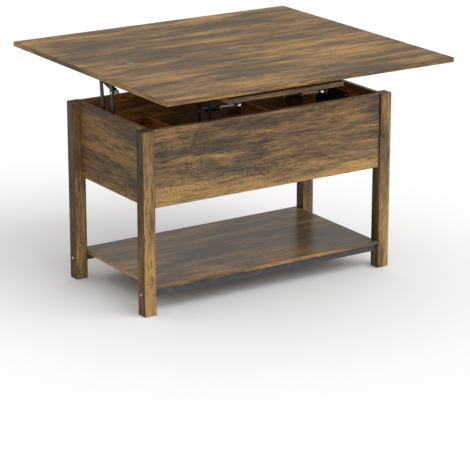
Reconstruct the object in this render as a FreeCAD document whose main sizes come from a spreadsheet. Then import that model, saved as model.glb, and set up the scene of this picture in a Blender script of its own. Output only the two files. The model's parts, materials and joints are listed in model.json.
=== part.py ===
import FreeCAD, Part
import os
import re

# Lift top coffee table that opens into a dining table.
# X runs along the table, Y from the sitter's side to the far side, Z up from the floor.
# The leaves are shown lifted and unfolded, and the small inner tray lifted.

doc = FreeCAD.newDocument("LiftTopTable")
sheet = doc.addObject("Spreadsheet::Sheet", "Dims")

DIMENSIONS = {
    # frame
    "frame_length": 939, "frame_depth": 477, "frame_height": 594,
    "leg_width": 42, "leg_depth": 40, "board": 15,
    "box_low": 346, "front_recess": 6.5, "end_recess": 27,
    "bottom_low": 353, "bottom_board": 10,
    "divider_face": 182, "divider_top": 507,
    "shelf_top": 93.5, "shelf_board": 12, "shelf_inset": 1.5, "shelf_gap": 0.5,
    "rail_height": 23.5, "rail_width": 16, "rail_wall": 1.5, "plug_length": 18,
    "bolt_radius": 3, "bolt_head_radius": 4.5, "bolt_head": 3.5, "bolt_reach": 14,
    "shelf_screw_radius": 2, "shelf_screw_reach": 8.5, "shelf_screw_head_radius": 3.6,
    "shelf_screw_head": 2, "shelf_screw_pitch": 260, "screw_slack": 1, "overcut": 1,
    # folding top
    "top_length": 1060, "leaf_depth": 480, "top_z": 749, "seam_gap": 0.3,
    "pin_rise": 0.25, "pin_radius": 1.4, "pin_fit": 0.06, "knuckle_radius": 2.9,
    "knuckle_room": 0.8, "hinge_width": 24, "lobe_centre": 8, "hinge_gauge": 2,
    "hinge_pitch": 370, "knuckle_share": 8, "knuckle_gap": 0.3, "knuckle_lap": 1,
    "hinge_screw_radius": 1.6, "hinge_screw_head_radius": 3.2, "hinge_screw_reach": 9,
    "hinge_screw_line": 10,
    # tray that rises out of the box
    "tray_length": 430, "tray_front": 325, "tray_back": 75, "tray_z": 682,
    # steel lift parts, the same for the leaves and the tray
    "plate_gauge": 3, "arm_gauge": 4, "arm_gap": 3.2, "web_gap": 2, "web_gauge": 3,
    "flange_width": 24, "pivot_drop": 16, "rivet_radius": 4, "rivet_fit": 0.05,
    "rivet_head_radius": 6.5, "rivet_head": 1.2, "head_gap": 0.2, "lug_radius": 9,
    "plate_screw_radius": 2, "plate_screw_head_radius": 4, "plate_screw_head": 1.8,
    "plate_screw_inset": 10, "plate_screw_reach": 10, "bracket_screw_inset": 22,
    "web_clear": 6, "bracket_margin": 2,
    "strut_offset": 26.2, "strut_radius": 8.5, "strut_bore": 7,
    "barrel_start": 6, "strut_guide": 12, "strut_foot": 14,
    "rod_radius": 4, "rod_fit": 0.08, "rod_in_piston": 1, "rod_short_of_eye": 2,
    "piston_radius": 6.9, "piston_length": 8, "socket_radius": 7.5, "socket_width": 10,
    "eye_radius": 6.2, "stud_radius": 4, "stud_gap": 0.7, "stud_stop": 0.8,
    "stud_cap_radius": 5.6, "stud_cap": 1.2,
    # lift of the leaves
    "lid_face": 427.5, "lid_pivot": 42, "lid_spacing": 62, "lid_rise": 0, "lid_arm": 235,
    "lid_angle": 84.016, "lid_arm_width": 18, "lid_strut_drop": 64, "lid_strut_end": 252,
    "lid_strut_length": 130, "lid_rod_length": 117,
    "lid_plate_near": -58, "lid_plate_far": 125, "lid_plate_low": 466, "lid_plate_top": 560,
    # lift of the tray
    "tray_pivot": 86, "tray_spacing": 63, "tray_rise": 20, "tray_arm": 156.38,
    "tray_angle": 94, "tray_arm_width": 14, "tray_strut_drop": 42, "tray_strut_end": 291,
    "tray_strut_length": 98, "tray_rod_length": 143,
    "tray_plate_near": 66, "tray_plate_far": 203, "tray_plate_low": 440, "tray_plate_top": 504,
}
EDGE_BREAK = 0.8

for row, (alias, value) in enumerate(DIMENSIONS.items(), start=1):
    sheet.set("A%d" % row, alias.replace("_", " "))
    sheet.set("B%d" % row, str(value))
    sheet.setAlias("B%d" % row, alias)
doc.recompute()

WORD = re.compile(r"[a-z_]+")
finished = []


def formula(text):
    """Point every alias in a formula at its spreadsheet cell."""
    def cell(found):
        word = found.group(0)
        return "Dims." + word if word in DIMENSIONS else word

    return WORD.sub(cell, str(text))


def bind(item, prop, text):
    item.setExpression(prop, formula(text))


def place(item, corner):
    for axis, text in zip("xyz", corner):
        bind(item, ".Placement.Base." + axis, text)


def box(name, size, corner):
    item = doc.addObject("Part::Box", name)
    for prop, text in zip(("Length", "Width", "Height"), size):
        bind(item, prop, text)
    place(item, corner)
    return item


def rod_along_x(name, radius, length, start):
    """Cylinder that starts at a point and runs towards +X."""
    item = doc.addObject("Part::Cylinder", name)
    item.Placement.Rotation = FreeCAD.Rotation(FreeCAD.Vector(0, 1, 0), 90)
    bind(item, "Radius", radius)
    bind(item, "Height", length)
    place(item, start)
    return item


def rod_along_z(name, radius, length, start):
    item = doc.addObject("Part::Cylinder", name)
    bind(item, "Radius", radius)
    bind(item, "Height", length)
    place(item, start)
    return item


def fuse(name, items):
    item = doc.addObject("Part::MultiFuse", name)
    item.Shapes = items
    return item


def cut(name, base, tools):
    item = doc.addObject("Part::Cut", name)
    item.Base = base
    item.Tool = tools[0] if len(tools) == 1 else fuse(name + "_tools", tools)
    return item


def group(name, items):
    item = doc.addObject("Part::Compound", name)
    item.Links = items
    return item


def soften(name, base):
    """Break all twelve edges of a board."""
    item = doc.addObject("Part::Chamfer", name)
    item.Base = base
    item.Edges = [(edge, EDGE_BREAK, EDGE_BREAK) for edge in range(1, 13)]
    return item


def finish(item, label):
    item.Label = label
    finished.append(item)
    return item


def board(label, size, corner):
    return finish(soften(label + "_edged", box(label + "_blank", size, corner)), label)


def mirrored(side, near, width):
    """X where a piece starts whose inner face is at a distance from the middle."""
    return "%s" % near if side > 0 else "-(%s) - (%s)" % (near, width)


def pin(name, side, radius, near, length, spot):
    """Cylinder along X on one side of the table, placed by its distance from the middle."""
    return rod_along_x(name, radius, length, (mirrored(side, near, length),) + spot)


def through(name, side, radius, near, length, spot):
    """Tool for a hole along X, run past both of the faces that it opens."""
    return pin(name, side, radius, near + " - overcut", length + " + 2 * overcut", spot)


SIDES = (("left", -1), ("right", 1))
DEPTHS = (("front", -1), ("back", 1))
RAIL_Y = "(frame_depth / 2 - leg_depth / 2)"
RAIL_LOW = "shelf_top - shelf_board - rail_height"


# ---------------------------------------------------------------- frame
def legs():
    """Four legs, each bored for the bolt that runs into a plug in the end of a shelf rail."""
    bolts = []
    plugs = []
    leg_x = "frame_length / 2 - leg_width"
    plug_x = leg_x + " - shelf_gap - plug_length"
    for depth_name, depth in DEPTHS:
        spot = ("%d * %s" % (depth, RAIL_Y), "%s + rail_height / 2" % RAIL_LOW)
        for side_name, side in SIDES:
            label = "leg_%s_%s" % (depth_name, side_name)
            blank = box(label + "_blank", ("leg_width", "leg_depth", "frame_height"),
                        (mirrored(side, leg_x, "leg_width"),
                         mirrored(depth, "frame_depth / 2 - leg_depth", "leg_depth"), "0"))
            hole = through(label + "_hole", side, "bolt_radius", leg_x, "leg_width", spot)
            finish(cut(label + "_bored", soften(label + "_edged", blank), [hole]), label)
            shank = pin(label + "_shank", side, "bolt_radius", leg_x + " - bolt_reach",
                        "leg_width + bolt_reach", spot)
            head = pin(label + "_head", side, "bolt_head_radius", "frame_length / 2", "bolt_head", spot)
            bolts.append(fuse(label + "_bolt", [shank, head]))
            plug = box(label + "_plug",
                       ("plug_length", "rail_width - 2 * rail_wall", "rail_height - 2 * rail_wall"),
                       (mirrored(side, plug_x, "plug_length"),
                        "%s - rail_width / 2 + rail_wall" % spot[0], RAIL_LOW + " + rail_wall"))
            thread = through(label + "_thread", side, "bolt_radius", plug_x, "plug_length", spot)
            plugs.append(cut(label + "_plug_bored", plug, [thread]))
    finish(group("rail_end_plugs_set", plugs), "rail_end_plugs")
    finish(group("rail_bolts_set", bolts), "rail_bolts")


def shelf():
    """Board on two square steel tubes, held by screws that come up through the tubes."""
    length = "frame_length - 2 * leg_width - 2 * shelf_gap"
    depth_of_shelf = "frame_depth - 2 * shelf_inset"
    blank = box("lower_shelf_blank", (length, depth_of_shelf, "shelf_board"),
                ("-(%s) / 2" % length, "-(%s) / 2" % depth_of_shelf, "shelf_top - shelf_board"))
    screws = []
    board_holes = []
    for depth_name, depth in DEPTHS:
        label = "shelf_rail_" + depth_name
        middle_y = "%d * %s" % (depth, RAIL_Y)
        outside = box(label + "_outside", (length, "rail_width", "rail_height"),
                      ("-(%s) / 2" % length, middle_y + " - rail_width / 2", RAIL_LOW))
        inside = box(label + "_inside",
                     (length + " + 2 * overcut", "rail_width - 2 * rail_wall",
                      "rail_height - 2 * rail_wall"),
                     ("-(%s) / 2 - overcut" % length, middle_y + " - rail_width / 2 + rail_wall",
                      RAIL_LOW + " + rail_wall"))
        rail_holes = []
        for index in (-1, 0, 1):
            name = "shelf_screw_%s_%d" % (depth_name, index + 2)
            spot = ("%d * shelf_screw_pitch" % index, middle_y)
            rail_holes.append(rod_along_z(name + "_rail_hole", "shelf_screw_radius",
                                          "rail_height + 2 * overcut", spot + (RAIL_LOW + " - overcut",)))
            board_holes.append(rod_along_z(name + "_hole", "shelf_screw_radius", "shelf_screw_reach",
                                           spot + ("shelf_top - shelf_board",)))
            shank = rod_along_z(name + "_shank", "shelf_screw_radius",
                                "rail_height + shelf_screw_reach - screw_slack", spot + (RAIL_LOW,))
            head = rod_along_z(name + "_head", "shelf_screw_head_radius", "shelf_screw_head",
                               spot + (RAIL_LOW + " - shelf_screw_head",))
            screws.append(fuse(name, [shank, head]))
        finish(cut(label + "_hollow", outside, [inside] + rail_holes), label)
    finish(cut("lower_shelf_bored", soften("lower_shelf_edged", blank), board_holes), "lower_shelf")
    finish(group("shelf_screws_set", screws), "shelf_screws")


def case():
    """Panels between the legs, the bottom that hangs in them and the two dividers of the tray's well."""
    inner_length = "frame_length - 2 * leg_width"
    for depth_name, depth in DEPTHS:
        board(depth_name + "_panel", (inner_length, "board", "frame_height - box_low"),
              ("-(%s) / 2" % inner_length,
               mirrored(depth, "frame_depth / 2 - front_recess - board", "board"), "box_low"))
    inner_depth = "frame_depth - 2 * leg_depth"
    for side_name, side in SIDES:
        board("end_panel_" + side_name, ("board", inner_depth, "frame_height - box_low"),
              (mirrored(side, "frame_length / 2 - end_recess - board", "board"),
               "-(%s) / 2" % inner_depth, "box_low"))
    well = "frame_depth - 2 * front_recess - 2 * board"
    board("box_bottom", ("2 * lid_face", well, "bottom_board"),
          ("-lid_face", "-(%s) / 2" % well, "bottom_low"))
    for side_name, side in SIDES:
        board("divider_" + side_name, ("board", well, "divider_top - bottom_low - bottom_board"),
              (mirrored(side, "divider_face", "board"), "-(%s) / 2" % well, "bottom_low + bottom_board"))


# ---------------------------------------------------------------- lift linkage
def bar(name, side, inner_x, gauge, width, length, angle, way, pivot):
    """Flat bar with round ends between two pivots, in a plane across X."""
    start = (mirrored(side, inner_x, gauge),)
    lean = "(%s)" % (angle if way > 0 else "180 - (%s)" % angle)
    blade = doc.addObject("Part::Box", name + "_blade")
    bind(blade, "Length", gauge)
    bind(blade, "Width", length)
    bind(blade, "Height", width)
    blade.Placement.Rotation = FreeCAD.Rotation(FreeCAD.Vector(1, 0, 0), 45)
    bind(blade, ".Placement.Rotation.Angle", lean)
    place(blade, start + ("%s + (%s) / 2 * sin(%s)" % (pivot[0], width, lean),
                          "%s - (%s) / 2 * cos(%s)" % (pivot[1], width, lean)))
    far = ("%s + (%s) * cos(%s)" % (pivot[0], length, lean),
           "%s + (%s) * sin(%s)" % (pivot[1], length, lean))
    ends = [rod_along_x("%s_end_%d" % (name, index), "(%s) / 2" % width, gauge, start + spot)
            for index, spot in enumerate((pivot, far))]
    return fuse(name + "_solid", [blade] + ends)


def lift(kind, way, face, seat_z):
    """Parallelogram lift at both ends of a panel: way is +1 when it moves towards +Y as it rises.

    face is the wall that carries the base plates and seat_z the underside that the brackets hold.
    """
    trail, lead = ("front", "rear") if way > 0 else ("rear", "front")
    low_z = "(%s - pivot_drop - %s_rise)" % (seat_z, kind)
    tops = {
        trail: ("(%d * %s_pivot)" % (way, kind), low_z),
        lead: ("(%d * (%s_pivot + %s_spacing))" % (way, kind, kind), "(%s + %s_rise)" % (low_z, kind)),
    }
    offset = ("(%d * %s_arm * cos(%s_angle))" % (way, kind, kind),
              "(%s_arm * sin(%s_angle))" % (kind, kind))
    bases = {name: ("(%s - %s)" % (top[0], offset[0]), "(%s - %s)" % (top[1], offset[1]))
             for name, top in tops.items()}
    stud_at = ("(%s - %d * %s_strut_drop * cos(%s_angle))" % (tops[trail][0], way, kind, kind),
               "(%s - %s_strut_drop * sin(%s_angle))" % (tops[trail][1], kind, kind))
    end_at = ("(%d * %s_strut_end)" % (way, kind), tops[lead][1])
    run = "(%d * (%s - %s))" % (way, end_at[0], stud_at[0])
    climb = "(%s - %s)" % (end_at[1], stud_at[1])
    slope = "atan2(%s; %s)" % (climb, run)
    reach = "sqrt(%s ^ 2 + %s ^ 2)" % (run, climb)
    tube_long = kind + "_strut_length"
    rod_long = kind + "_rod_length"

    plate_x = "%s - plate_gauge" % face
    arm_x = "%s - arm_gap - arm_gauge" % plate_x
    web_x = "%s - web_gap - web_gauge" % arm_x
    strut_x = "%s - strut_offset" % face
    cap_x = "%s - socket_width / 2 - stud_stop" % strut_x
    plate_y = "%s_plate_near" % kind if way > 0 else "-%s_plate_far" % kind
    plate_long = "(%s_plate_far - %s_plate_near)" % (kind, kind)
    plate_high = "(%s_plate_top - %s_plate_low)" % (kind, kind)
    bracket_long = "(%s_strut_end - %s_pivot + 2 * lug_radius + bracket_margin)" % (kind, kind)
    bracket_y = ("%s_pivot - lug_radius" if way > 0 else
                 "-(%s_strut_end + lug_radius + bracket_margin)") % kind
    sets = {name: [] for name in ("base_rivets", "base_screws", "top_rivets", "bracket_screws",
                                  "strut_studs")}
    panel_holes = []
    for side_name, side in SIDES:
        tag = "%s_%s_" % (kind, side_name)

        # base plate, its rivets and its screws
        plate = box(tag + "plate", ("plate_gauge", plate_long, plate_high),
                    (mirrored(side, plate_x, "plate_gauge"), plate_y, kind + "_plate_low"))
        holes = []
        for index, spot in enumerate(bases.values()):
            name = "%sbase_rivet_%d" % (tag, index)
            holes.append(through(name + "_hole", side, "rivet_radius", plate_x, "plate_gauge", spot))
            shank = pin(name + "_shank", side, "rivet_radius", arm_x + " - head_gap",
                        "plate_gauge + arm_gap + arm_gauge + head_gap", spot)
            head = pin(name + "_head", side, "rivet_head_radius", arm_x + " - head_gap - rivet_head",
                       "rivet_head", spot)
            collar = pin(name + "_collar", side, "rivet_head_radius", arm_x + " + arm_gauge + head_gap",
                         "arm_gap - head_gap", spot)
            sets["base_rivets"].append(fuse(name, [shank, head, collar]))
        for index, (across, up) in enumerate(((0, 0), (0, 1), (1, 0), (1, 1))):
            name = "%sbase_screw_%d" % (tag, index)
            spot = ("%s + plate_screw_inset + %d * (%s - 2 * plate_screw_inset)"
                    % (plate_y, across, plate_long),
                    "%s_plate_low + plate_screw_inset + %d * (%s - 2 * plate_screw_inset)"
                    % (kind, up, plate_high))
            holes.append(through(name + "_hole", side, "plate_screw_radius", plate_x, "plate_gauge", spot))
            shank = pin(name + "_shank", side, "plate_screw_radius", plate_x, "plate_gauge", spot)
            head = pin(name + "_head", side, "plate_screw_head_radius", plate_x + " - plate_screw_head",
                       "plate_screw_head", spot)
            sets["base_screws"].append(fuse(name, [shank, head]))
        finish(cut(tag + "plate_bored", plate, holes), "%s_base_%s" % (kind, side_name))

        # the two arms, and the stud on the one that the strut pushes
        for name in (trail, lead):
            arm_tag = tag + name + "_arm"
            blank = bar(arm_tag, side, arm_x, "arm_gauge", kind + "_arm_width", kind + "_arm",
                        kind + "_angle", way, bases[name])
            bores = [through("%s_bore_%d" % (arm_tag, index), side, "rivet_radius + rivet_fit", arm_x,
                             "arm_gauge", spot)
                     for index, spot in enumerate((bases[name], tops[name]))]
            if name == trail:
                bores.append(through(arm_tag + "_stud_hole", side, "stud_radius", arm_x, "arm_gauge",
                                     stud_at))
            finish(cut(arm_tag + "_bored", blank, bores), "%s_%s_arm_%s" % (kind, name, side_name))
        stud = pin(tag + "stud_shank", side, "stud_radius", cap_x, "%s + arm_gauge - (%s)" % (arm_x, cap_x),
                   stud_at)
        cap = pin(tag + "stud_cap", side, "stud_cap_radius", cap_x + " - stud_cap", "stud_cap", stud_at)
        sets["strut_studs"].append(fuse(tag + "stud", [stud, cap]))

        # bracket under the panel: web, ears for the pivots, flange and the stud that faces the strut
        solids = [
            box(tag + "web", ("web_gauge", bracket_long, "pivot_drop - web_clear"),
                (mirrored(side, web_x, "web_gauge"), bracket_y, "%s - pivot_drop + web_clear" % seat_z)),
            box(tag + "flange", ("flange_width", bracket_long, "web_gauge"),
                (mirrored(side, web_x + " + web_gauge - flange_width", "flange_width"), bracket_y,
                 "%s - web_gauge" % seat_z)),
        ]
        for index, spot in enumerate((tops[trail], tops[lead], end_at)):
            name = "%sear_%d" % (tag, index)
            solids.append(box(name, ("web_gauge", "2 * lug_radius", "%s - %s" % (seat_z, spot[1])),
                              (mirrored(side, web_x, "web_gauge"), "%s - lug_radius" % spot[0], spot[1])))
            solids.append(pin(name + "_round", side, "lug_radius", web_x, "web_gauge", spot))
        end_x = "%s + eye_radius + stud_gap" % strut_x
        solids.append(pin(tag + "end_stud", side, "stud_radius", end_x, "%s - (%s)" % (web_x, end_x),
                          end_at))
        bores = []
        for index, spot in enumerate((tops[trail], tops[lead])):
            name = "%stop_rivet_%d" % (tag, index)
            bores.append(through(name + "_bore", side, "rivet_radius", web_x, "web_gauge", spot))
            shank = pin(name + "_shank", side, "rivet_radius", web_x,
                        "web_gauge + web_gap + arm_gauge + head_gap", spot)
            head = pin(name + "_head", side, "rivet_head_radius", arm_x + " + arm_gauge + head_gap",
                       "rivet_head", spot)
            collar = pin(name + "_collar", side, "rivet_head_radius", web_x + " + web_gauge",
                         "web_gap - head_gap", spot)
            sets["top_rivets"].append(fuse(name, [shank, head, collar]))
        for index in range(4):
            name = "%sflange_screw_%d" % (tag, index)
            spot = (mirrored(side, web_x + " + web_gauge - flange_width / 2", "0"),
                    "%s + bracket_screw_inset + %d * (%s - 2 * bracket_screw_inset) / 3"
                    % (bracket_y, index, bracket_long))
            bores.append(rod_along_z(name + "_hole", "plate_screw_radius", "web_gauge + 2 * overcut",
                                     spot + ("%s - web_gauge - overcut" % seat_z,)))
            panel_holes.append(rod_along_z(name + "_panel_hole", "plate_screw_radius",
                                           "plate_screw_reach", spot + (seat_z,)))
            shank = rod_along_z(name + "_shank", "plate_screw_radius",
                                "web_gauge + plate_screw_reach - screw_slack",
                                spot + ("%s - web_gauge" % seat_z,))
            head = rod_along_z(name + "_head", "plate_screw_head_radius", "plate_screw_head",
                               spot + ("%s - web_gauge - plate_screw_head" % seat_z,))
            sets["bracket_screws"].append(fuse(name, [shank, head]))
        finish(cut(tag + "bracket_bored", fuse(tag + "bracket_solid", solids), bores),
               "%s_bracket_%s" % (kind, side_name))

        # gas strut: cylinder on the arm's stud, rod running out towards the bracket's end stud
        def along(name, radius, start, length):
            item = doc.addObject("Part::Cylinder", name)
            item.Placement.Rotation = FreeCAD.Rotation(FreeCAD.Vector(1, 0, 0), -45 * way)
            bind(item, ".Placement.Rotation.Angle",
                 "%s - 90 deg" % slope if way > 0 else "90 deg - %s" % slope)
            bind(item, "Radius", radius)
            bind(item, "Height", length)
            place(item, ("%d * (%s)" % (side, strut_x),
                         "%s + %d * (%s) * cos(%s)" % (stud_at[0], way, start, slope),
                         "%s + (%s) * sin(%s)" % (stud_at[1], start, slope)))
            return item

        barrel = along(tag + "barrel", "strut_radius", "barrel_start", tube_long + " - barrel_start")
        socket = pin(tag + "socket", side, "socket_radius", "%s - socket_width / 2" % strut_x,
                     "socket_width", stud_at)
        hollow = along(tag + "hollow", "strut_bore", "strut_foot",
                       tube_long + " - strut_guide - strut_foot")
        guide = along(tag + "guide", "rod_radius + rod_fit", tube_long + " - strut_guide - overcut",
                      "strut_guide + 2 * overcut")
        seat = through(tag + "socket_bore", side, "stud_radius + rivet_fit",
                       "%s - strut_radius" % strut_x, "2 * strut_radius", stud_at)
        finish(cut(tag + "tube_bored", fuse(tag + "tube_solid", [barrel, socket]), [hollow, guide, seat]),
               "%s_strut_tube_%s" % (kind, side_name))
        rod = along(tag + "rod", "rod_radius", "%s - %s + rod_in_piston" % (reach, rod_long),
                    rod_long + " - rod_in_piston - rod_short_of_eye")
        piston = along(tag + "piston", "piston_radius", "%s - %s" % (reach, rod_long), "piston_length")
        eye = doc.addObject("Part::Sphere", tag + "eye")
        bind(eye, "Radius", "eye_radius")
        place(eye, ("%d * (%s)" % (side, strut_x),) + end_at)
        finish(fuse(tag + "rod_solid", [rod, piston, eye]), "%s_strut_rod_%s" % (kind, side_name))
    for name, items in sets.items():
        finish(group("%s_%s_set" % (kind, name), items), "%s_%s" % (kind, name))
    return panel_holes


# ---------------------------------------------------------------- folding top
def lobe(name, way, middle, near, low, height):
    """Round-ended tongue that reaches from near the seam over one leaf."""
    body = box(name + "_body", ("hinge_width", "lobe_centre - (%s)" % near, height),
               ("%s - hinge_width / 2" % middle, mirrored(way, near, "lobe_centre - (%s)" % near), low))
    end = rod_along_z(name + "_end", "hinge_width / 2", height, (middle, "%d * lobe_centre" % way, low))
    end.Angle = 180
    if way < 0:
        end.Placement.Rotation = FreeCAD.Rotation(FreeCAD.Vector(0, 0, 1), 180)
    return [body, end]


def folding_top(screw_holes):
    """Two leaves that meet at the middle, joined by three flush hinges in their top faces."""
    pockets = {-1: [], 1: []}
    plates = {-1: [], 1: []}
    screws = {-1: [], 1: []}
    pins = []
    axis_z = "top_z + pin_rise"
    plate_low = "top_z - hinge_gauge"
    room = "(knuckle_radius + knuckle_room)"
    outer = "(hinge_width - knuckle_share) / 2"
    for index in (-1, 0, 1):
        tag = "hinge_%d_" % (index + 2)
        middle = "%d * hinge_pitch" % index
        start = "%s - hinge_width / 2" % middle
        knuckles = {
            1: (("%s - knuckle_share / 2 + knuckle_gap" % middle, "knuckle_share - 2 * knuckle_gap"),),
            -1: ((start, outer), ("%s + knuckle_share / 2" % middle, outer)),
        }
        pins.append(rod_along_x(tag + "pin", "pin_radius", "hinge_width", (start, "0", axis_z)))
        for way in (-1, 1):
            side_tag = tag + ("far_" if way > 0 else "near_")
            pockets[way] += lobe(side_tag + "pocket", way, middle, "0", plate_low, "hinge_gauge + overcut")
            pockets[way].append(box(side_tag + "knuckle_pocket", ("hinge_width", room, room + " + overcut"),
                                    (start, mirrored(way, "0", room), "top_z - " + room)))
            pieces = lobe(side_tag + "plate", way, middle, "knuckle_radius", plate_low, "hinge_gauge")
            for number, (near_x, long) in enumerate(knuckles[way]):
                name = "%sknuckle_%d" % (side_tag, number)
                pieces.append(rod_along_x(name, "knuckle_radius", long, (near_x, "0", axis_z)))
                pieces.append(box(name + "_wrap", (long, "knuckle_radius + knuckle_lap", "hinge_gauge"),
                                  (near_x, mirrored(way, "0", "knuckle_radius + knuckle_lap"), plate_low)))
            name = side_tag + "screw"
            spot = (middle, "%d * hinge_screw_line" % way)
            screw_low = plate_low + " - hinge_screw_reach"
            holes = [
                rod_along_x(side_tag + "bore", "pin_radius" if way > 0 else "pin_radius + pin_fit",
                            "hinge_width + 2 * overcut", (start + " - overcut", "0", axis_z)),
                rod_along_z(name + "_hole", "hinge_screw_head_radius", "hinge_gauge + 2 * overcut",
                            spot + (plate_low + " - overcut",)),
            ]
            pockets[way].append(rod_along_z(name + "_seat", "hinge_screw_radius", "hinge_screw_reach",
                                            spot + (screw_low,)))
            shank = rod_along_z(name + "_shank", "hinge_screw_radius", "hinge_screw_reach",
                                spot + (screw_low,))
            head = rod_along_z(name + "_head", "hinge_screw_head_radius", "hinge_gauge",
                               spot + (plate_low,))
            screws[way].append(fuse(name, [shank, head]))
            plates[way].append(cut(side_tag + "half", fuse(side_tag + "half_solid", pieces), holes))
    for way, label in ((1, "fixed"), (-1, "folding")):
        blank = box(label + "_leaf_blank", ("top_length", "leaf_depth - seam_gap / 2", "board"),
                    ("-top_length / 2", mirrored(way, "seam_gap / 2", "leaf_depth - seam_gap / 2"),
                     "top_z - board"))
        tools = pockets[way] + (screw_holes if way > 0 else [])
        finish(cut(label + "_leaf_bored", soften(label + "_leaf_edged", blank), tools), label + "_leaf")
        finish(group(label + "_hinge_set", plates[way]), "hinge_plates_" + label)
        finish(group(label + "_hinge_screw_set", screws[way]), "hinge_screws_" + label)
    finish(group("hinge_pin_set", pins), "hinge_pins")


def tray(screw_holes):
    blank = box("tray_blank", ("tray_length", "tray_front - tray_back", "board"),
                ("-tray_length / 2", "-tray_front", "tray_z - board"))
    finish(cut("tray_bored", soften("tray_edged", blank), screw_holes), "tray_panel")


legs()
shelf()
case()
folding_top(lift("lid", 1, "lid_face", "(top_z - board)"))
tray(lift("tray", -1, "divider_face", "(tray_z - board)"))
doc.recompute()

# ---------------------------------------------------------------- checks and export
for item in doc.Objects:
    faults = [state for state in item.State if state in ("Invalid", "Error")]
    if faults:
        raise RuntimeError("%s is %s" % (item.Name, ", ".join(faults)))
    shape = getattr(item, "Shape", None)
    if shape is not None and (shape.isNull() or not shape.isValid()):
        raise RuntimeError("%s has a bad shape" % item.Name)

os.makedirs("parts", exist_ok=True)
for item in finished:
    item.Shape.exportStep(os.path.join("parts", item.Label + ".step"))
print("%d sub-parts" % len(finished))
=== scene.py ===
import json
import math
import random

import bmesh
import bpy
import numpy as np
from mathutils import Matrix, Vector


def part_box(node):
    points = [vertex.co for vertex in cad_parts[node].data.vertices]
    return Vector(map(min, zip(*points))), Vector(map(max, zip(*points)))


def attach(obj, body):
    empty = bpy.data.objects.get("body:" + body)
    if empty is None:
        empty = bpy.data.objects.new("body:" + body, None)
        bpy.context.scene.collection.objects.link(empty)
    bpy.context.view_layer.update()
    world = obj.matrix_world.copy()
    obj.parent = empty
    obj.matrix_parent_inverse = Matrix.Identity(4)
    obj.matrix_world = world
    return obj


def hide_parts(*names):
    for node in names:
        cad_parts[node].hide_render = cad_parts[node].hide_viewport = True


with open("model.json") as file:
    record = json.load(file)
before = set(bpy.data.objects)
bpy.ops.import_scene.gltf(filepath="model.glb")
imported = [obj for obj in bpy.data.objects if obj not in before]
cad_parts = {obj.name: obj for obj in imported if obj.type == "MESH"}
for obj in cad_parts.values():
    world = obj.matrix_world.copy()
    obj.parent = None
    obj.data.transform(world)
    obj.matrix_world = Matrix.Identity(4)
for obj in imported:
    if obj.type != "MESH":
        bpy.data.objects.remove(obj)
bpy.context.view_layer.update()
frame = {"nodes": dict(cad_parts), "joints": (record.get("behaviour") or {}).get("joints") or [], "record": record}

X, Y, Z = 0, 1, 2


# ---------------------------------------------------------------- shader maths
class Wire:
    """One output of a material's tree. Sums, products and powers of wires add Math nodes."""

    def __init__(self, finish, output):
        self.finish = finish
        self.output = output

    def math(self, operation, *values):
        return self.finish.node("Math", {"operation": operation}, dict(enumerate(values)))

    def __add__(self, other):
        return self.math("ADD", self, other)

    def __radd__(self, other):
        return self.math("ADD", other, self)

    def __sub__(self, other):
        return self.math("SUBTRACT", self, other)

    def __rsub__(self, other):
        return self.math("SUBTRACT", other, self)

    def __mul__(self, other):
        return self.math("MULTIPLY", self, other)

    def __rmul__(self, other):
        return self.math("MULTIPLY", other, self)

    def __truediv__(self, other):
        return self.math("DIVIDE", self, other)

    def __rtruediv__(self, other):
        return self.math("DIVIDE", other, self)

    def __pow__(self, other):
        return self.math("POWER", self, other)

    def __rpow__(self, other):
        return self.math("POWER", other, self)

    def __gt__(self, other):
        return self.math("GREATER_THAN", self, other)

    def __abs__(self):
        return self.math("ABSOLUTE", self)

    def fraction(self):
        return self.math("FRACT", self)

    def exponential(self):
        return self.math("EXPONENT", self)

    def larger(self, other):
        return self.math("MAXIMUM", self, other)

    def span(self, low, high, start=0.0, end=1.0):
        """Smooth step from start to end as the value goes from low to high."""
        sockets = {"Value": self, "From Min": low, "From Max": high, "To Min": start, "To Max": end}
        return self.finish.node("MapRange", {"interpolation_type": "SMOOTHSTEP"}, sockets)


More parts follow.
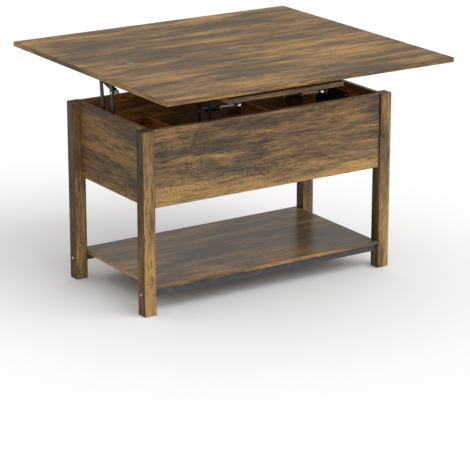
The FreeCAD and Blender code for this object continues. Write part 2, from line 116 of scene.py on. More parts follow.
class Finish:
    """A material in the making: its tree, its shader, and the one method that adds a node."""

    def __init__(self, name):
        self.material = bpy.data.materials.new(name)
        self.material.use_nodes = True
        self.tree = self.material.node_tree
        self.shader = self.tree.nodes["Principled BSDF"]

    def node(self, kind, settings, sockets, output=0):
        """Add a node, give it its settings and then its sockets' values or wires."""
        made = self.tree.nodes.new("ShaderNode" + kind)
        for name, value in settings.items():
            setattr(made, name, value)
        for name, value in sockets.items():
            self.feed(made.inputs[name], value)
        return Wire(self, made.outputs[output])

    def feed(self, socket, value):
        if isinstance(value, Wire):
            self.tree.links.new(value.output, socket)
        else:
            socket.default_value = value

    def surface(self, **sockets):
        """Give values or wires to the shader's own sockets, with _ for each space in a name."""
        for name, value in sockets.items():
            self.feed(self.shader.inputs[name.replace("_", " ")], value)
        return self.material

    def place(self):
        """Object coordinates and the object's own normal, each as three wires."""
        found = []
        for output in ("Object", "Normal"):
            vector = self.node("TexCoord", {}, {}, output)
            found.append([self.node("SeparateXYZ", {}, {0: vector}, axis) for axis in "XYZ"])
        return found

    def vector(self, x, y, z):
        return self.node("CombineXYZ", {}, {"X": x, "Y": y, "Z": z})

    def noise(self, vector, detail=2.0, roughness=0.5):
        """Cloudy value round 0.5 at a vector that is already scaled."""
        sockets = {"Vector": vector, "Scale": 1.0, "Detail": detail, "Roughness": roughness}
        return self.node("TexNoise", {}, sockets)

    def blend(self, share, first, second, mode="MIX"):
        """Mix of two colours, each a wire or (r, g, b)."""
        def full(colour):
            return colour if isinstance(colour, Wire) else (*colour, 1.0)

        settings = {"data_type": "RGBA", "blend_type": mode}
        return self.node("Mix", settings, {0: share, 6: full(first), 7: full(second)}, 2)

    def bump(self, height, distance, strength=1.0):
        return self.node("Bump", {}, {"Height": height, "Distance": distance, "Strength": strength})


# ---------------------------------------------------------------- finishes
SLATE = (0.108, 0.084, 0.062)
BROWN = (0.180, 0.116, 0.064)
TAN = (0.285, 0.176, 0.082)
GOLD = (0.480, 0.285, 0.100)
UMBER = (0.026, 0.016, 0.009)
PLAIN = (1.0, 1.0, 1.0)
# Painted shade: darkens each leg's two faces that point along X, the deeper one on the front left leg.
LEG_SIDE_PAINTED_SHADE = (0.64, 0.60, 0.53)
LEG_SIDE_DEEPER_PAINTED_SHADE = (0.53, 0.50, 0.45)
# Painted shade: darkens the end panels' broad faces and their front and back edges.
END_PANEL_PAINTED_SHADE = (0.65, 0.61, 0.53)
# Painted light: brightens and warms the faces inside the box, and the dividers all over.
PAINTED_INSIDE_LIGHT = (1.95, 1.50, 1.05)
KNOT_LENGTH = 0.085
KNOT_WIDTH = 0.024


def laminate(name, grain, across, thick, seed, golden=0.0, sides=0.0, tone_and_painted_light=PLAIN, side_painted_shade=None,
             inside_painted_light=PLAIN, middle=0.0, figure=0.4, hearts=(), band=None, foot=None, gloss=0.42,
             sheen=0.10, sawn=0.5):
    """Printed rustic wood on a board.

    grain, across and thick are the board's axes. Every face carries its own strip of the print, with the
    lines along its longer side: they follow the grain axis, or the across axis on the end bands.
    Growth lines are level lines of (across the print) + (a slow noise) + (one round hill per heart), so
    they run along the board, arch into cathedrals and bend round the knots. figure says how much of the
    board shows its growth lines, and sawn how strong the saw marks across the grain are.

    golden shifts the print from slate towards gold and sides does so on the narrow faces. A shift that
    fades in between two places is (from, to, shift): band across the board and foot along it. The tone
    argument multiplies the whole print: a tint on some boards, painted shade on the end panels and painted
    light on the dividers. The side tone replaces it on the narrow faces along the grain, and is painted
    shade on the legs. The inside light is painted light that brightens the faces that look towards
    middle, a place along thick.
    """
    finish = Finish(name)
    place, normal = finish.place()
    dice = random.Random(seed)
    on_end = abs(normal[grain]) > 0.6
    on_side = (abs(normal[across]) > 0.6).larger(on_end)
    flat = (abs(normal[X]).larger(abs(normal[Y]))).larger(abs(normal[Z]))
    along = place[grain] + (place[across] - place[grain]) * on_end
    over = place[across] + (place[thick] - place[across]) * on_side
    sheet = on_end * 0.7 + on_side * 0.4 + (normal[thick] > 0.0) * 1.3 + dice.uniform(0, 50)

    drift = finish.noise(finish.vector(along * 1.9, over * 5.0, sheet), 2.0)
    waved = over + (drift - 0.5) * 0.045
    patch = finish.noise(finish.vector(along * 2.0, waved * 11.0, sheet), 6.0, 0.66)
    glow = finish.noise(finish.vector(along * 2.3, waved * 27.0, sheet + 9.0), 4.0, 0.62)
    streak = finish.noise(finish.vector(along * 8.0, waved * 110.0, sheet + 3.0), 4.0, 0.72)
    fleck = finish.noise(finish.vector(along * 60.0, waved * 420.0, sheet + 5.0), 2.0, 0.7)
    thread = finish.noise(finish.vector(along * 30.0, waved * 520.0, sheet), 2.0, 0.6)
    crack = finish.noise(finish.vector(along * 14.0, waved * 260.0, sheet + 2.0), 3.0, 0.6)
    saw = finish.noise(finish.vector(along * 430.0, over * 16.0, sheet + 7.0), 1.0)
    cloud = finish.noise(finish.vector(along * 5.0, over * 9.0, sheet + 33.0), 2.0)

    bend = finish.noise(finish.vector(along * 2.4, over * 8.0, sheet + 4.0), 2.0)
    crook = finish.noise(finish.vector(along * 16.0, over * 52.0, sheet + 12.0), 3.0, 0.6) - 0.5
    growth = waved * 105.0 + bend * 12.0 + crook * 3.2
    knot = 0.0
    for heart_along, heart_over, size in hearts:
        long = (along - heart_along) / (KNOT_LENGTH * size)
        short = (over - heart_over) / (KNOT_WIDTH * size)
        away = abs(long * long + short * short + crook * 1.4)
        growth = growth + (away * -1.0).exponential() * 6.0
        knot = (away * -30.0).exponential() + knot
    ring = growth.fraction()
    line = (ring ** 3.0) * (1.0 - ring.span(0.90, 1.0))
    shown = cloud.span(0.58 - 0.3 * figure, 0.74 - 0.3 * figure)

    warmth = (patch - 0.5) * 1.80 + (glow - 0.5) * 0.70 + (streak - 0.5) * 0.85 + 0.5 + golden
    warmth = warmth + (fleck - 0.5) * 0.60
    warmth = warmth + on_side * (sides - golden)
    if band:
        warmth = warmth + place[across].span(band[0], band[1]) * band[2]
    if foot:
        warmth = warmth + place[grain].span(foot[0], foot[1]) * foot[2]
    colour = finish.blend(warmth.span(0.30, 0.50), SLATE, BROWN)
    colour = finish.blend(warmth.span(0.46, 0.63), colour, TAN)
    colour = finish.blend(warmth.span(0.60, 0.84), colour, GOLD)
    colour = finish.blend((1.0 - streak.span(0.26, 0.46)) * 0.42, colour, UMBER)
    colour = finish.blend(fleck.span(0.56, 0.76) * 0.50, colour, UMBER)
    colour = finish.blend(line * shown * 0.62, colour, UMBER)
    colour = finish.blend(thread.span(0.48, 0.74) * 0.40, colour, UMBER)
    colour = finish.blend(crack.span(0.56, 0.67) * 0.72, colour, UMBER)
    colour = finish.blend(saw.span(0.45, 0.72) * cloud.span(0.42, 0.60) * (0.45 * sawn), colour, UMBER)
    if hearts:
        colour = finish.blend(knot * 0.8, colour, UMBER)
    colour = finish.blend((1.0 - flat.span(0.80, 0.97)) * 0.45, colour, UMBER)
    # Painted light and shade: the tint multiplied in below carries the end panels' and legs' painted shade and the
    # box's painted inside light, and a plain tint on the other boards.
    tint_and_painted_light = finish.blend(on_side - on_end, tone_and_painted_light, side_painted_shade or tone_and_painted_light)
    # Painted light on the faces that look towards middle, the inside of the box.
    if inside_painted_light != PLAIN:
        inwards = (middle - place[thick]) * normal[thick]
        tint_and_painted_light = finish.blend(inwards > 0.0, tint_and_painted_light, inside_painted_light)
    colour = finish.blend(1.0, colour, tint_and_painted_light, "MULTIPLY")
    relief = thread * -0.4 - crack.span(0.60, 0.72) * 0.7 - line * shown * 0.4
    return finish.surface(
        Base_Color=colour,
        Roughness=gloss + thread * 0.10 + crack.span(0.60, 0.72) * 0.12,
        Specular_IOR_Level=sheen,
        Normal=finish.bump(relief, 0.00022, 0.5),
    )


def powder_coat(name, colour=(0.010, 0.010, 0.011), roughness=0.42):
    """Baked black powder: a fine orange-peel skin, a little dust and rubbed patches."""
    finish = Finish(name)
    place, _ = finish.place()
    spot = finish.vector(*place)
    grit = finish.node("VectorMath", {"operation": "SCALE"}, {0: spot, "Scale": 900.0})
    patches = finish.node("VectorMath", {"operation": "SCALE"}, {0: spot, "Scale": 45.0})
    peel = finish.noise(grit, 2.0)
    rub = finish.noise(patches, 4.0, 0.65)
    worn = tuple(channel * 2.3 for channel in colour)
    return finish.surface(
        Base_Color=finish.blend(rub.span(0.50, 0.75), colour, worn),
        Roughness=roughness + rub * 0.16,
        Metallic=0.12,
        Normal=finish.bump(peel, 0.00012, 0.5),
    )


LINES_ACROSS = 700.0
LINES_ALONG = 25.0


def plated(name, colour, roughness, lay_axis, stain=0.35):
    """Plated steel with the faint lines of its making, which cross lay_axis, and duller stained patches."""
    finish = Finish(name)
    place, _ = finish.place()
    scales = [LINES_ACROSS if axis == lay_axis else LINES_ALONG for axis in (X, Y, Z)]
    drawn = finish.noise(finish.vector(*[channel * scale for channel, scale in zip(place, scales)]), 2.0)
    stained = finish.noise(finish.vector(*[channel * 160.0 for channel in place]), 3.0, 0.6)
    dull = tuple(channel * 0.72 for channel in colour)
    return finish.surface(
        Base_Color=finish.blend(stained.span(0.45, 0.75) * stain, colour, dull),
        Roughness=roughness + drawn * 0.10 + stained * 0.08,
        Metallic=1.0,
        Normal=finish.bump(drawn, 0.00003, 0.4),
    )


BOX_MIDDLE = 0.47  # height half way up the inside of the lift-top box

BOARD_FINISHES = {
    # node: (grain, across, thick, seed, looks)
    "fixed_leaf": (X, Y, Z, 11, dict(golden=0.02, figure=0.2, tone_and_painted_light=(0.97, 0.94, 0.84),
                                     hearts=[(0.31, 0.12, 0.6)])),
    "folding_leaf": (X, Y, Z, 12, dict(golden=0.04, figure=0.2, tone_and_painted_light=(0.97, 0.94, 0.84),
                                       hearts=[(-0.22, -0.30, 0.6)])),
    "front_panel": (X, Z, Y, 13, dict(
        sides=0.28, tone_and_painted_light=(1.01, 1.03, 1.10), inside_painted_light=PAINTED_INSIDE_LIGHT, figure=0.7, band=(0.435, 0.375, 0.33),
        sawn=0.8, hearts=[(-0.30, 0.380, 1.0), (-0.02, 0.392, 0.9), (-0.12, 0.452, 0.5),
                          (0.12, 0.470, 0.5), (0.27, 0.53, 0.4)])),
    "back_panel": (X, Z, Y, 14, dict(
        sides=0.28, inside_painted_light=PAINTED_INSIDE_LIGHT, figure=0.7, band=(0.435, 0.375, 0.24),
        hearts=[(0.26, 0.385, 1.0), (-0.10, 0.50, 0.6)])),
    "end_panel_left": (Y, Z, X, 15, dict(golden=0.06, sides=0.30, tone_and_painted_light=END_PANEL_PAINTED_SHADE, side_painted_shade=PLAIN,
                                         inside_painted_light=PAINTED_INSIDE_LIGHT, figure=1.0, hearts=[(-0.02, 0.475, 1.2)])),
    "end_panel_right": (Y, Z, X, 16, dict(golden=0.06, sides=0.30, tone_and_painted_light=END_PANEL_PAINTED_SHADE, side_painted_shade=PLAIN,
                                          inside_painted_light=PAINTED_INSIDE_LIGHT, figure=1.0, hearts=[(0.03, 0.46, 1.2)])),
    "box_bottom": (X, Y, Z, 17, dict(golden=0.08, inside_painted_light=PAINTED_INSIDE_LIGHT, middle=BOX_MIDDLE)),
    # The dividers' tone is painted light over the whole board.
    "divider_left": (Y, Z, X, 18, dict(golden=0.10, sides=0.24, tone_and_painted_light=PAINTED_INSIDE_LIGHT)),
    "divider_right": (Y, Z, X, 19, dict(golden=0.10, sides=0.24, tone_and_painted_light=PAINTED_INSIDE_LIGHT)),
    "lower_shelf": (X, Y, Z, 20, dict(sides=0.20, figure=0.3, gloss=0.20, sheen=0.32,
                                      tone_and_painted_light=(0.94, 0.86, 0.72))),
    # On the legs the negative sides shift and the side tones darken the faces that point along X: painted shade.
    "leg_front_left": (Z, X, Y, 21, dict(golden=0.04, foot=(0.50, 0.12, 0.24), sides=-0.16,
                                         side_painted_shade=LEG_SIDE_DEEPER_PAINTED_SHADE, figure=0.8, hearts=[(0.12, -0.445, 0.9)])),
    "leg_front_right": (Z, X, Y, 22, dict(golden=0.10, foot=(0.50, 0.12, 0.20), sides=-0.06,
                                          side_painted_shade=LEG_SIDE_PAINTED_SHADE, figure=0.8, hearts=[(0.35, 0.45, 0.8)])),
    "leg_back_left": (Z, X, Y, 23, dict(golden=0.08, sides=-0.04, side_painted_shade=LEG_SIDE_PAINTED_SHADE, figure=0.7,
                                        hearts=[(0.30, -0.45, 0.8)])),
    "leg_back_right": (Z, X, Y, 24, dict(golden=0.08, sides=-0.04, side_painted_shade=LEG_SIDE_PAINTED_SHADE, figure=0.7,
                                         hearts=[(0.20, 0.45, 0.8)])),
    "tray_panel": (X, Y, Z, 25, dict(golden=0.06, figure=0.3)),
}


def dress(node, material):
    """Give a CAD node one material."""
    slots = frame["nodes"][node].data.materials
    slots.clear()
    slots.append(material)


for board, (grain, across, thick, seed, looks) in BOARD_FINISHES.items():
    dress(board, laminate("laminate_" + board, grain, across, thick, seed, **looks))
black_coat = powder_coat("black_powder_coat")
slate_coat = powder_coat("slate_powder_coat", (0.052, 0.057, 0.063), 0.50)
bright_zinc = plated("bright_zinc", (0.62, 0.61, 0.59), 0.28, X)
pale_socket = plated("pale_socket", (0.78, 0.77, 0.74), 0.32, X, stain=0.15)
chrome_plate = plated("chrome_plate", (0.90, 0.90, 0.91), 0.20, X, stain=0.1)
dark_bronze = plated("dark_bronze", (0.200, 0.198, 0.190), 0.42, Y)
rubbed_bronze = plated("rubbed_bronze", (0.400, 0.390, 0.370), 0.36, Y)

body_of = {node: body for body, nodes in frame["record"]["behaviour"]["bodies"].items() for node in nodes}
place_of = {joint["name"]: joint for joint in frame["joints"]}


# ---------------------------------------------------------------- surfaces
SHARP_EDGE = math.radians(32.0)
ROLLED_EDGE = math.radians(40.0)
FLAT_ANGLE = math.radians(0.6)
SAME_SPOT = 2e-6


def settle(name, vertices, faces, material, node):
    """Put a finished surface in the scene with the given material, riding with a CAD node's body and standing in
    for that node.
    """
    mesh = bpy.data.meshes.new(name)
    mesh.from_pydata(vertices.tolist(), [], faces)
    dress_piece(name, mesh, material, node)


def dress_piece(name, mesh, material, node):
    """Make an object of a mesh, shade it smooth between its sharp edges and let it replace the node."""
    mesh.materials.clear()
    mesh.materials.append(material)
    mesh.polygons.foreach_set("use_smooth", np.ones(len(mesh.polygons), bool))
    mesh.set_sharp_from_angle(angle=SHARP_EDGE)
    piece = bpy.data.objects.new(name, mesh)
    bpy.context.scene.collection.objects.link(piece)
    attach(piece, body_of[node])
    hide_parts(node)
    return piece


def spots_of(node):
    """Places of a node's vertices, one row each."""
    mesh = frame["nodes"][node].data
    spots = np.empty(len(mesh.vertices) * 3, np.float32)
    mesh.vertices.foreach_get("co", spots)
    return spots.reshape(-1, 3).astype(float)


def solids_of(node):
    """Vertices of each separate solid of a node: the lowest label spreads over shared corners."""
    mesh = frame["nodes"][node].data
    spots = spots_of(node)
    corners = np.empty(len(mesh.loops), np.int32)
    mesh.loops.foreach_get("vertex_index", corners)
    _, same = np.unique(np.round(spots, 6), axis=0, return_inverse=True)
    same = same.reshape(-1)
    faces = same[corners.reshape(-1, 3)]
    label = np.arange(same.max() + 1)
    while True:
        spread = label.copy()
        lowest = label[faces].min(axis=1)
        for corner in range(3):
            np.minimum.at(spread, faces[:, corner], lowest)
        if (spread == label).all():
            break
        label = spread
    return [spots[label[same] == name] for name in np.unique(label)]


def turned(rows, count=40):
    """Closed surface of revolution about Z through rows of (radius, height).

    The first and last rows are poles. The wall lies to the right of the rows' path, so the outside runs
    from the top down. A radius may be an array over the angle, which gives a socket or a cross recess.
    """
    angle = np.linspace(0.0, 2.0 * math.pi, count, endpoint=False)
    radius = np.array([np.broadcast_to(row[0], count) for row in rows[1:-1]])
    height = np.broadcast_to(np.array([row[1] for row in rows[1:-1]])[:, None], radius.shape)
    rings = np.stack([radius * np.cos(angle), radius * np.sin(angle), height], axis=-1).reshape(-1, 3)
    vertices = np.vstack([[0.0, 0.0, rows[0][1]], rings, [0.0, 0.0, rows[-1][1]]])
    index = 1 + np.arange(radius.size).reshape(radius.shape)
    after = np.roll(index, -1, axis=1)
    walls = np.stack([index[:-1], index[1:], after[1:], after[:-1]], axis=-1).reshape(-1, 4)
    top = np.stack([np.zeros(count, int), index[0], after[0]], axis=-1)
    foot = np.stack([np.full(count, len(vertices) - 1), after[-1], index[-1]], axis=-1)
    return vertices, walls.tolist() + top.tolist() + foot.tolist()


def stand(shape, origin, towards):
    """Turn a shape's own Z to a direction and move its origin to a point."""
    turn = np.array(Vector(towards).to_track_quat("Z", "Y").to_matrix())
    return shape[0] @ turn.T + np.asarray(origin, float), shape[1]


def joined(shapes):
    """One surface from several, with the faces' numbers moved on past the vertices before them."""
    vertices = []
    faces = []
    count = 0
    for spots, rows in shapes:
        vertices.append(spots)
        faces += [[corner + count for corner in row] for row in rows]
        count += len(spots)
    return np.vstack(vertices), faces


def cross_recess(reach, width, count=40):
    """Outline of two crossed bars: at each angle the further of the two bars' edges."""
    angle = np.linspace(0.0, 2.0 * math.pi, count, endpoint=False) + 1e-4
    cosine, sine = np.abs(np.cos(angle)), np.abs(np.sin(angle))
    return np.maximum(np.minimum(reach / cosine, width / sine), np.minimum(width / cosine, reach / sine))


def hexagon(flat, count=42):
    """Outline of a hexagon: the flats' distance over the cosine of the angle from the nearest flat."""
    angle = np.linspace(0.0, 2.0 * math.pi, count, endpoint=False)
    sixth = math.pi / 3.0
    return flat / np.cos((angle + sixth / 2.0) % sixth - sixth / 2.0)


# ---------------------------------------------------------------- fasteners
def pan_screw(head_radius, head, radius, length):
    """Low domed head with a cross recess over a plain shank; the head sits on height 0."""
    cross = cross_recess(head_radius * 0.56, head_radius * 0.15)
    return turned([
        (0.0, head * 0.35), (cross * 0.7, head * 0.40), (cross, head * 0.97), (head_radius * 0.62, head),
        (head_radius * 0.82, head * 0.86), (head_radius * 0.95, head * 0.58), (head_radius, head * 0.25),
        (head_radius, 0.0), (radius, 0.0), (radius, -length * 0.92), (radius * 0.5, -length),
        (0.0, -length)])


def flush_screw(head_radius, head, radius, length):
    """Countersunk head that narrows from its flat face down to the shank, with a cross recess."""
    cross = cross_recess(head_radius * 0.62, head_radius * 0.16)
    return turned([
        (0.0, head * 0.3), (cross * 0.7, head * 0.35), (cross, head * 0.94),
        (head_radius * 0.72, head * 0.97), (head_radius * 0.93, head * 0.95),
        (head_radius * 0.96, head * 0.86), (radius, 0.0), (radius, -length * 0.9), (0.0, -length)])


def socket_bolt(head_radius, head, radius, length):
    """Button head with a hexagon socket over a plain shank."""
    key = hexagon(head_radius * 0.44)
    return turned([
        (0.0, head * 0.25), (key * 0.97, head * 0.30), (key, head * 0.95), (head_radius * 0.62, head),
        (head_radius * 0.80, head * 0.90), (head_radius * 0.93, head * 0.66), (head_radius, head * 0.34),
        (head_radius, 0.0), (radius, 0.0), (radius, -length * 0.95), (radius * 0.6, -length),
        (0.0, -length)], 42)


def rivet(head_radius, radius, levels):
    """Domed head, shank, flat spacing collar and peened tail, at five levels from the head down."""
    head_top, head_low, collar_top, collar_low, tail = levels
    head = head_top - head_low
    swell = [(head_radius * math.sin(step), head_low + head * (0.35 + 0.65 * math.cos(step)))
             for step in np.radians((18, 36, 54, 72, 88))]
    ease = head * 0.12
    return turned([(0.0, head_top)] + swell + [
        (head_radius, head_low), (radius, head_low), (radius, collar_top),
        (head_radius * 0.88 - ease, collar_top), (head_radius * 0.88, collar_top - ease),
        (head_radius * 0.88, collar_low + ease), (head_radius * 0.88 - ease, collar_low),
        (radius, collar_low), (radius, tail + ease), (radius * 0.8, tail), (0.0, tail)])


FASTENERS = {
    # node: (axis, which way the head points, form, finish)
    "rail_bolts": (X, "out", "bolt", bright_zinc),
    "shelf_screws": (Z, "down", "pan", bright_zinc),
    "lid_base_rivets": (X, "in", "rivet", bright_zinc),
    "tray_base_rivets": (X, "in", "rivet", bright_zinc),
    "lid_top_rivets": (X, "out", "rivet", bright_zinc),
    "tray_top_rivets": (X, "out", "rivet", bright_zinc),
    "lid_base_screws": (X, "in", "pan", bright_zinc),
    "tray_base_screws": (X, "in", "pan", bright_zinc),
    "lid_bracket_screws": (Z, "down", "pan", bright_zinc),
    "tray_bracket_screws": (Z, "down", "pan", bright_zinc),
    "lid_strut_studs": (X, "in", "stud", bright_zinc),
    "tray_strut_studs": (X, "in", "stud", bright_zinc),
    "hinge_screws_fixed": (Z, "up", "flush", rubbed_bronze),
    "hinge_screws_folding": (Z, "up", "flush", rubbed_bronze),
}
FORMS = {"pan": pan_screw, "flush": flush_screw, "bolt": socket_bolt}


def fastener(solid, axis, heading, form):
    """One fastener in its CAD solid's place, from that solid's own radii and levels."""
    middle = (solid.min(0) + solid.max(0)) / 2.0
    side = math.copysign(1.0, middle[X])
    way = {"up": 1.0, "down": -1.0, "out": side, "in": -side}[heading]
    across = np.delete(solid - middle, axis, axis=1)
    radii = np.hypot(across[:, 0], across[:, 1])
    levels = np.sort(np.unique(np.round(solid[:, axis] * way, 5)))[::-1]
    reach = radii.max()
    slim = radii[np.abs(solid[:, axis] * way - levels[-1]) < 1e-5].max()
    middle[axis] = 0.0
    towards = [0.0, 0.0, 0.0]
    towards[axis] = way
    if form == "rivet":
        shape = rivet(reach, slim, levels)
        base = 0.0
    elif form == "stud":
        base = levels[1]
        cap = levels[0] - base
        long = base - levels[-1]
        shape = turned([(0.0, cap), (reach * 0.80, cap), (reach, cap * 0.65), (reach, cap * 0.15),
                        (reach * 0.92, 0.0), (slim, 0.0), (slim, -long), (0.0, -long)])
    else:
        base = levels[1]
        shape = FORMS[form](reach, levels[0] - base, slim, base - levels[-1])
    middle[axis] = base * way
    return stand(shape, middle, towards)


for node, (axis, heading, form, metal) in FASTENERS.items():
    shapes = [fastener(solid, axis, heading, form) for solid in solids_of(node)]
    settle(node + "_turned", *joined(shapes), metal, node)


# ---------------------------------------------------------------- pressed steel
def clean_copy(node):
    """The node's surface with its doubles merged and its flat areas joined into single faces."""
    mesh = frame["nodes"][node].data.copy()
    work = bmesh.new()
    work.from_mesh(mesh)
    bmesh.ops.remove_doubles(work, verts=work.verts, dist=SAME_SPOT)
    bmesh.ops.dissolve_limit(work, angle_limit=FLAT_ANGLE, verts=work.verts, edges=work.edges)
    work.to_mesh(mesh)
    work.free()
    return mesh


def pressed(node, ease, material):
    """Steel pressing or tube: the node's own form with every sharp edge rolled over."""
    piece = dress_piece(node + "_pressed", clean_copy(node), material, node)
    roll = piece.modifiers.new("rolled_edges", "BEVEL")
    roll.width = ease
    roll.segments = 2
    roll.limit_method = "ANGLE"
    roll.angle_limit = ROLLED_EDGE
    roll.harden_normals = True


PRESSINGS = {"shelf_rail_": (0.0011, slate_coat), "_base_": (0.0005, black_coat),
             "_arm_": (0.0006, black_coat), "_bracket_": (0.0005, black_coat),
             "hinge_plates_": (0.00025, dark_bronze)}
for node in sorted(body_of):
    for part, (ease, coat) in PRESSINGS.items():
        if part in node and node not in FASTENERS:
            pressed(node, ease, coat)
for node, metal in (("rail_end_plugs", bright_zinc), ("hinge_pins", dark_bronze)):
    dress(node, metal)


# ---------------------------------------------------------------- gas struts
BARREL_SIDES = 48
BARREL_RADIUS = 0.0085
NECK_RADIUS = 0.0076
FOOT_RADIUS = 0.0052
FOOT_START = 0.0070
BORE_RADIUS = 0.0070
BORE_START = 0.014
GLAND_RADIUS = 0.0042
GLAND_DEPTH = 0.012
SOCKET_RADIUS = 0.0075
SOCKET_RIM = 0.0060
SOCKET_HALF = 0.0050
STUD_BORE = 0.00405
BORE_BREAK = 0.0003
SHAFT_RADIUS = 0.0040
PISTON_RADIUS = 0.0069
PISTON_LENGTH = 0.0080
PISTON_BREAK = 0.0004
RING_DEPTH = 0.0010
SLEEVE_RADIUS = 0.0056
EYE_RADIUS = 0.0062


def strut_cylinder(end):
    """Barrel with a rounded foot, a rolled neck near its open end, and a bore closed by the gland.

    Heights run from the middle of the stud that the socket turns on.
    """
    return turned([
        (0.0, BORE_START), (BORE_RADIUS, BORE_START), (BORE_RADIUS, end - GLAND_DEPTH),
        (GLAND_RADIUS, end - GLAND_DEPTH), (GLAND_RADIUS, end), (BARREL_RADIUS - 0.0022, end),
        (BARREL_RADIUS - 0.0006, end - 0.0010), (BARREL_RADIUS, end - 0.0028),
        (BARREL_RADIUS, end - 0.0072), (NECK_RADIUS, end - 0.0082), (NECK_RADIUS, end - 0.0098),
        (BARREL_RADIUS, end - 0.0108), (BARREL_RADIUS, 0.0125), (BARREL_RADIUS - 0.0006, 0.0100),
        (BARREL_RADIUS - 0.0026, 0.0078), (FOOT_RADIUS, FOOT_START), (0.0, FOOT_START)], BARREL_SIDES)


def strut_socket():
    """Drum round the stud with eased rims and a broken edge at each end of its bore."""
    rows = [(0.0, SOCKET_HALF - BORE_BREAK), (STUD_BORE, SOCKET_HALF - BORE_BREAK),
            (STUD_BORE + 0.0004, SOCKET_HALF), (SOCKET_RIM, SOCKET_HALF), (0.0070, SOCKET_HALF * 0.84),
            (SOCKET_RADIUS, SOCKET_HALF * 0.5)]
    return turned(rows + [(radius, -height) for radius, height in reversed(rows)], BARREL_SIDES)


def strut_shaft(ball_at, piston_at):
    """Rod that stops inside the sleeve, with a piston that has one ring groove."""
    top = ball_at - 0.0050
    shoulder = piston_at + PISTON_LENGTH
    groove = PISTON_RADIUS - RING_DEPTH
    return turned([
        (0.0, top), (SHAFT_RADIUS, top), (SHAFT_RADIUS, shoulder), (PISTON_RADIUS - PISTON_BREAK, shoulder),
        (PISTON_RADIUS, piston_at + 0.0074), (PISTON_RADIUS, piston_at + 0.0050),
        (groove, piston_at + 0.0046), (groove, piston_at + 0.0034), (PISTON_RADIUS, piston_at + 0.0030),
        (PISTON_RADIUS, piston_at + PISTON_BREAK), (PISTON_RADIUS - PISTON_BREAK, piston_at),
        (0.0, piston_at)])


def strut_sleeve(ball_at):
    """Collar behind the ball that narrows onto the rod."""
    return turned([
        (0.0, ball_at - 0.0045), (0.0048, ball_at - 0.0045), (SLEEVE_RADIUS, ball_at - 0.0052),
        (SLEEVE_RADIUS, ball_at - 0.0120), (0.0050, ball_at - 0.0150), (0.0046, ball_at - 0.0158),
        (0.0, ball_at - 0.0158)])


def strut_ball():
    """Sphere: radius times the sine and the cosine of the angle down from its pole."""
    arcs = np.radians(np.arange(12, 180, 12))
    rows = [(EYE_RADIUS * math.sin(arc), EYE_RADIUS * math.cos(arc)) for arc in arcs]
    return turned([(0.0, EYE_RADIUS)] + rows + [(0.0, -EYE_RADIUS)])


def strut(kind, side_name):
    """The five pieces of one strut, from its arm's stud along its slide to its bracket's stud."""
    tube, rod = ("%s_strut_%s_%s" % (kind, part, side_name) for part in ("tube", "rod"))
    low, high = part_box(tube)
    start = np.array([(low.x + high.x) / 2.0, *place_of[kind + "_strut_swing"]["pos_m"][1:]])
    along = np.array(place_of[kind + "_strut_slide"]["axis"])
    tube_end = ((spots_of(tube) - start) @ along).max()
    rod_spans = (spots_of(rod) - start) @ along
    ball_at = rod_spans.max() - EYE_RADIUS
    piston_at = rod_spans.min()
    pieces = (
        ("cylinder", strut_cylinder(tube_end), start, along, black_coat, tube),
        ("socket", strut_socket(), start, (1.0, 0.0, 0.0), pale_socket, tube),
        ("shaft", strut_shaft(ball_at, piston_at), start, along, chrome_plate, rod),
        ("sleeve", strut_sleeve(ball_at), start, along, black_coat, rod),
        ("ball", strut_ball(), start + along * ball_at, along, pale_socket, rod),
    )
    for part, shape, origin, towards, metal, node in pieces:
        settle("%s_strut_%s_%s" % (kind, part, side_name), *stand(shape, origin, towards), metal, node)


for kind in ("lid", "tray"):
    for side_name in ("left", "right"):
        strut(kind, side_name)


# ---------------------------------------------------------------- studio
FLOOR_HALF = 14.0
FLOOR_HEIGHT = -0.0005
CAMERA_PLACE = (-3.68497, -5.71087, 2.29131)
CAMERA_TURN = -32.96
CAMERA_DIP = 17.68
CAMERA_LENS = 166.12


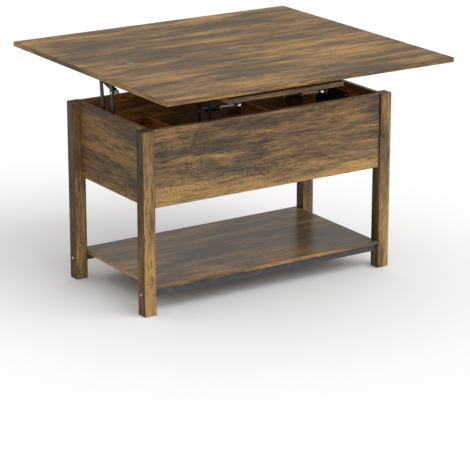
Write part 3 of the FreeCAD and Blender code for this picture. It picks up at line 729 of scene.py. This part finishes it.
def studio_floor():
    """A wide pale sheet a hair under the legs, from four corners."""
    mesh = bpy.data.meshes.new("studio_floor")
    quarters = ((-1, -1), (1, -1), (1, 1), (-1, 1))
    corners = [(x * FLOOR_HALF, y * FLOOR_HALF, FLOOR_HEIGHT) for x, y in quarters]
    mesh.from_pydata(corners, [], [(0, 1, 2, 3)])
    floor = bpy.data.objects.new("studio_floor", mesh)
    bpy.context.scene.collection.objects.link(floor)
    paper = Finish("studio_paper")
    mesh.materials.append(paper.surface(Base_Color=(0.92, 0.92, 0.92, 1.0), Roughness=0.9,
                                        Specular_IOR_Level=0.0))


def soft_sun(name, towards, share, spread):
    """Even light from one side of the sky: share is what it adds to a white sheet that faces it."""
    light = bpy.data.lights.new(name, "SUN")
    light.energy = share * math.pi
    light.angle = math.radians(spread)
    lamp = bpy.data.objects.new(name, light)
    lamp.rotation_euler = Vector(towards).to_track_quat("Z", "Y").to_euler()
    bpy.context.scene.collection.objects.link(lamp)


def sky(lit, seen):
    """Air of one brightness for lighting the table and of another where the camera looks past it."""
    world = bpy.data.worlds.new("studio_air")
    world.use_nodes = True
    tree = world.node_tree
    dim = tree.nodes["Background"]
    dim.inputs["Strength"].default_value = lit
    dim.inputs["Color"].default_value = (1.0, 1.0, 1.0, 1.0)
    bright = tree.nodes.new("ShaderNodeBackground")
    bright.inputs["Strength"].default_value = seen
    bright.inputs["Color"].default_value = (1.0, 1.0, 1.0, 1.0)
    path = tree.nodes.new("ShaderNodeLightPath")
    choice = tree.nodes.new("ShaderNodeMixShader")
    tree.links.new(path.outputs["Is Camera Ray"], choice.inputs[0])
    tree.links.new(dim.outputs[0], choice.inputs[1])
    tree.links.new(bright.outputs[0], choice.inputs[2])
    tree.links.new(choice.outputs[0], tree.nodes["World Output"].inputs["Surface"])
    bpy.context.scene.world = world


def camera():
    """A long lens in front of the table, turned and dipped by two angles in degrees."""
    view = bpy.data.cameras.new("main_view")
    view.lens = CAMERA_LENS
    view.sensor_width = 36.0
    view.clip_end = 60.0
    eye = bpy.data.objects.new("main_view", view)
    eye.location = CAMERA_PLACE
    eye.rotation_euler = (math.radians(90.0 - CAMERA_DIP), 0.0, math.radians(CAMERA_TURN))
    bpy.context.scene.collection.objects.link(eye)
    bpy.context.scene.camera = eye


studio_floor()
soft_sun("key_light", towards=(0.34, -0.70, 0.62), share=0.50, spread=60.0)
soft_sun("top_light", towards=(0.0, 0.12, 0.99), share=0.34, spread=120.0)
sky(lit=0.48, seen=1.0)
camera()
bpy.context.scene.view_settings.view_transform = "Standard"
